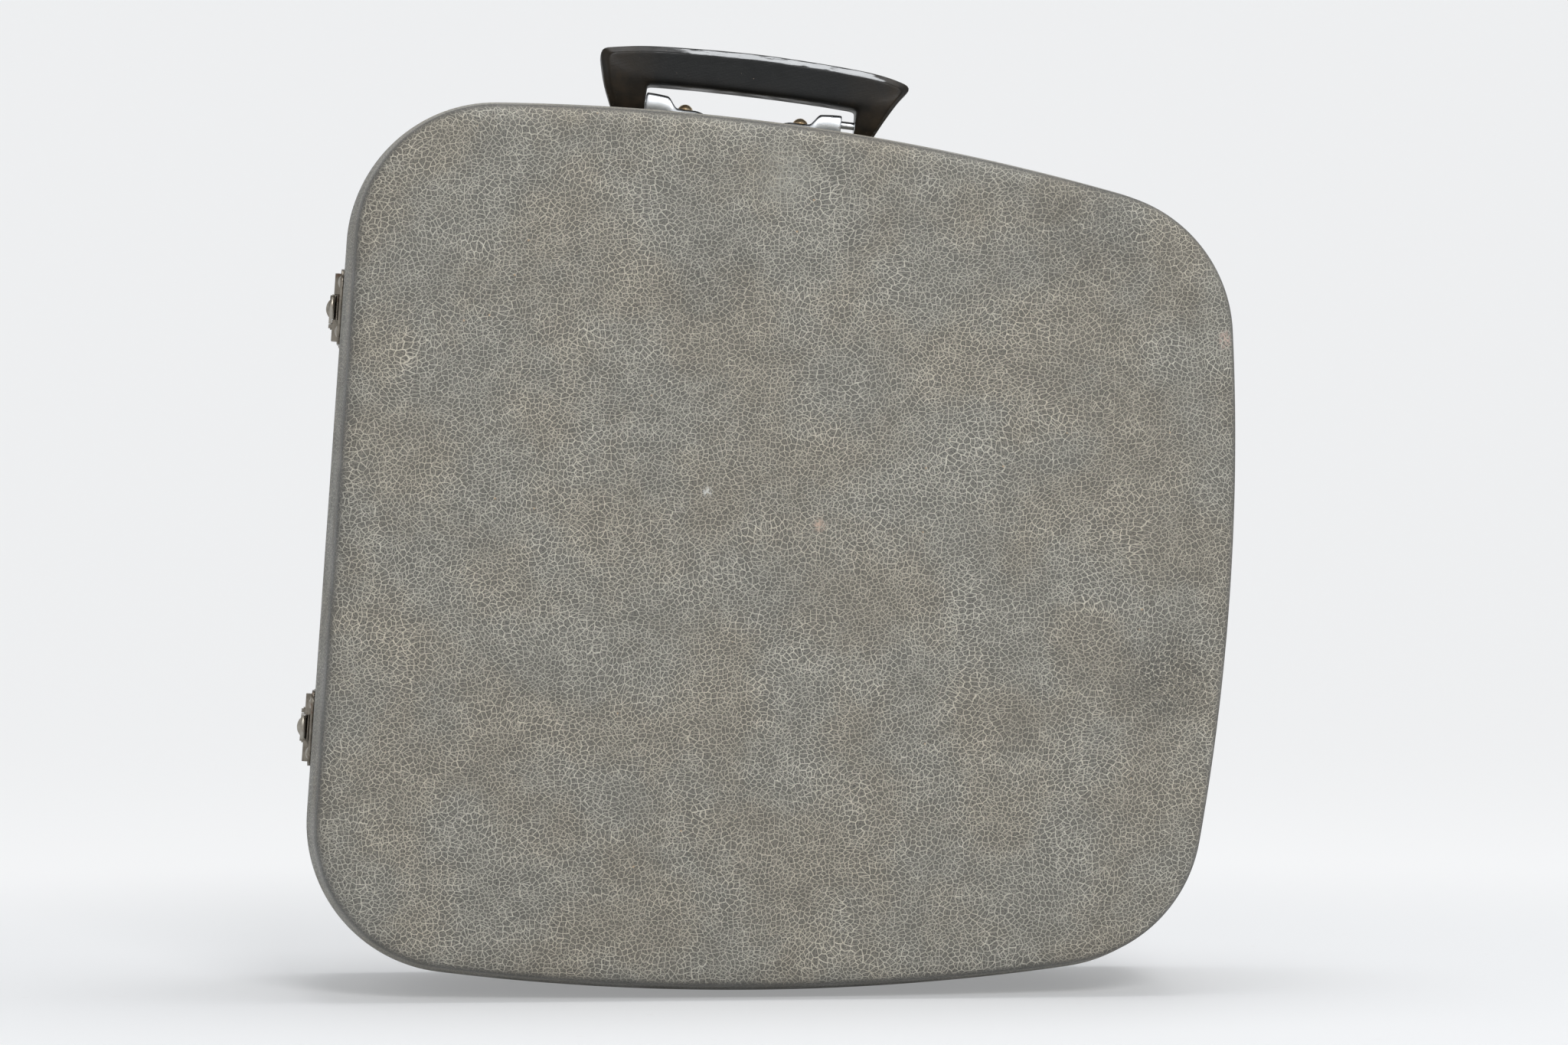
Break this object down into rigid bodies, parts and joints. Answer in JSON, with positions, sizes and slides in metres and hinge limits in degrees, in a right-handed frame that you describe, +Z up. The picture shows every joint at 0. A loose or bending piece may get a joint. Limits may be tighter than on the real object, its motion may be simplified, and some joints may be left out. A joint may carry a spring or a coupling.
{
  "type": "portable typewriter case",
  "caption": "Rigid two-part carrying case with rounded corners, side-hinged lid, snap latches and a tilting handle.",
  "frame": {"origin": "centre of the object's own box, on the ground under the side that it stands on", "axes": "+Z up, +Y from the lid towards the base's feet, +X from the latches towards the hinges"},
  "size_m": [0.3641, 0.154, 0.3655],
  "materials": {
    "cloth": "grained leathercloth, matt",
    "board": "pressed board",
    "lining": "flocked paper",
    "strip": "stained board",
    "grip": "worn satin",
    "bright_steel": "polished plating",
    "dull_steel": "tarnished nickel plating",
    "brass": "tarnished",
    "rubber": "matt"
  },
  "bodies": {
    "base": {"base_board": "board", "base_cloth": "cloth", "base_lining": "lining", "rim_strip": "strip", "handle_bracket_left": "bright_steel", "handle_bracket_right": "bright_steel", "bracket_rivets": "brass", "latch_plate_upper": "dull_steel", "latch_plate_lower": "dull_steel", "latch_pins": "dull_steel", "latch_rivets": "dull_steel", "hinge_base_leaves": "dull_steel", "hinge_pins": "dull_steel", "hinge_base_rivets": "dull_steel", "rubber_feet": "rubber", "foot_screws": "dull_steel", "machine_clips": "dull_steel", "clip_rivets": "dull_steel"},
    "lid": {"lid_board": "board", "lid_cloth": "cloth", "lid_lining": "lining", "keeper_upper": "dull_steel", "keeper_lower": "dull_steel", "keeper_rivets": "dull_steel", "hinge_lid_leaves": "dull_steel", "hinge_lid_rivets": "dull_steel"},
    "handle": {"handle_grip": "grip", "foot_plates": "bright_steel", "handle_pins": "bright_steel"},
    "upper_lever": {"latch_lever_upper": "dull_steel"},
    "lower_lever": {"latch_lever_lower": "dull_steel"}
  },
  "joints": [
    {"name": "lid_hinge", "type": "hinge", "parent": "base", "child": "lid", "pos_m": [0.17869, -0.007, 0.15325], "axis": [0.071, 0, 0.9975], "range_deg": [0, 165]},
    {"name": "handle_tilt", "type": "hinge", "parent": "base", "child": "handle", "pos_m": [-0.00363, 0.006, 0.33997], "axis": [0.9931, 0, -0.1175], "range_deg": [-60, 60]},
    {"name": "upper_latch", "type": "hinge", "parent": "base", "child": "upper_lever", "pos_m": [-0.16591, 0.016, 0.26258], "axis": [-0.071, 0, -0.9975], "range_deg": [0, 115]},
    {"name": "lower_latch", "type": "hinge", "parent": "base", "child": "lower_lever", "pos_m": [-0.1774, 0.016, 0.10121], "axis": [-0.071, 0, -0.9975], "range_deg": [0, 115]}
  ]
}
